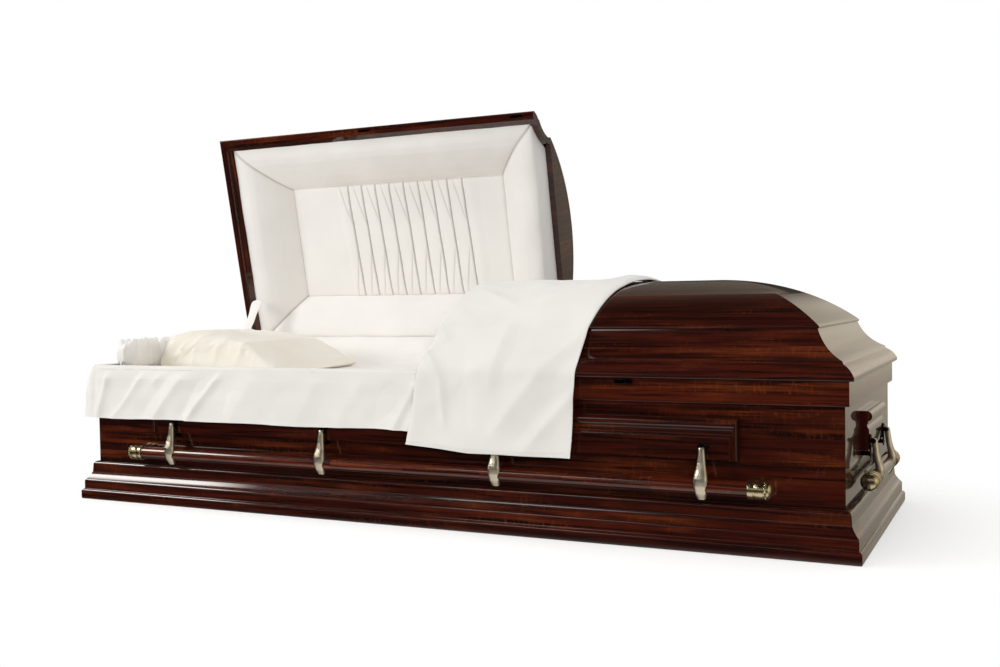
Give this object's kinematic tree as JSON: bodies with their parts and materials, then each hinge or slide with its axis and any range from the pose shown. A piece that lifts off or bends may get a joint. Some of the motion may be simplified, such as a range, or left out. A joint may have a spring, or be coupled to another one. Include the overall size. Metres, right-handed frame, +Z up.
{
  "type": "funeral casket",
  "caption": "Half-couch hardwood casket with a hinged domed lid open at the head, padded cloth lining, pillow, draped throw and swing bar handles.",
  "frame": {"origin": "middle of the underside, on the floor", "axes": "+X towards the foot end, +Y towards the hinged long side, +Z up"},
  "size_m": [2.148, 0.9099, 1.0798],
  "materials": {
    "mahogany": "dark red-brown mahogany stain under polished clear lacquer",
    "antique_brass": "antique brass plate, polished",
    "satin_nickel": "warm satin nickel plate on die castings",
    "dark_bronze": "glossy near-black bronze plate on castings",
    "white_crepe": "white matt woven crepe, padded",
    "cream_crepe": "cream matt woven crepe, padded"
  },
  "bodies": {
    "casket_body": {"base_moulding": "mahogany", "bottom_board": "mahogany", "front_wall": "mahogany", "back_wall": "mahogany", "head_wall": "mahogany", "foot_wall": "mahogany", "rim_rail": "mahogany", "front_panel": "mahogany", "back_panel": "mahogany", "head_panel": "mahogany", "foot_panel": "mahogany", "front_ear_1": "dark_bronze", "front_ear_2": "dark_bronze", "front_ear_3": "dark_bronze", "front_ear_4": "dark_bronze", "back_ear_1": "dark_bronze", "back_ear_2": "dark_bronze", "back_ear_3": "dark_bronze", "back_ear_4": "dark_bronze", "head_ear_1": "dark_bronze", "head_ear_2": "dark_bronze", "foot_ear_1": "dark_bronze", "foot_ear_2": "dark_bronze", "bed_mattress": "cream_crepe", "pillow": "cream_crepe", "body_lining": "white_crepe", "apron": "white_crepe", "lid_stay": "white_crepe"},
    "head_lid": {"head_lid_frame": "mahogany", "head_lid_crown": "mahogany", "head_lid_header": "mahogany", "lid_lining": "white_crepe"},
    "foot_lid": {"foot_lid_frame": "mahogany", "foot_lid_crown": "mahogany", "foot_lid_header": "mahogany", "throw": "white_crepe"},
    "front_handle": {"front_bar": "mahogany", "front_bar_tip_a": "antique_brass", "front_bar_tip_b": "antique_brass", "front_arm_1": "satin_nickel", "front_arm_2": "satin_nickel", "front_arm_3": "satin_nickel", "front_arm_4": "satin_nickel"},
    "back_handle": {"back_bar": "mahogany", "back_bar_tip_a": "antique_brass", "back_bar_tip_b": "antique_brass", "back_arm_1": "satin_nickel", "back_arm_2": "satin_nickel", "back_arm_3": "satin_nickel", "back_arm_4": "satin_nickel"},
    "head_handle": {"head_bar": "mahogany", "head_bar_tip_a": "antique_brass", "head_bar_tip_b": "antique_brass", "head_arm_1": "satin_nickel", "head_arm_2": "satin_nickel"},
    "foot_handle": {"foot_bar": "mahogany", "foot_bar_tip_a": "antique_brass", "foot_bar_tip_b": "antique_brass", "foot_arm_1": "satin_nickel", "foot_arm_2": "satin_nickel"}
  },
  "joints": [
    {"name": "head_lid_hinge", "type": "hinge", "parent": "casket_body", "child": "head_lid", "pos_m": [0, 0.3634, 0.3615], "axis": [1, 0, 0], "range_deg": [0, 78.65], "deforming": ["apron", "body_lining", "lid_stay", "throw"]},
    {"name": "foot_lid_hinge", "type": "hinge", "parent": "casket_body", "child": "foot_lid", "pos_m": [0, 0.3634, 0.3615], "axis": [1, 0, 0], "range_deg": [-78.65, 0]},
    {"name": "front_handle_swing", "type": "hinge", "parent": "casket_body", "child": "front_handle", "pos_m": [0, -0.3715, 0.2195], "axis": [-1, 0, 0], "range_deg": [0, 80]},
    {"name": "back_handle_swing", "type": "hinge", "parent": "casket_body", "child": "back_handle", "pos_m": [0, 0.3715, 0.2195], "axis": [1, 0, 0], "range_deg": [0, 80]},
    {"name": "foot_handle_swing", "type": "hinge", "parent": "casket_body", "child": "foot_handle", "pos_m": [1.054, 0, 0.2195], "axis": [0, -1, 0], "range_deg": [0, 80]},
    {"name": "head_handle_swing", "type": "hinge", "parent": "casket_body", "child": "head_handle", "pos_m": [-1.054, 0, 0.2195], "axis": [0, 1, 0], "range_deg": [0, 80]}
  ]
}
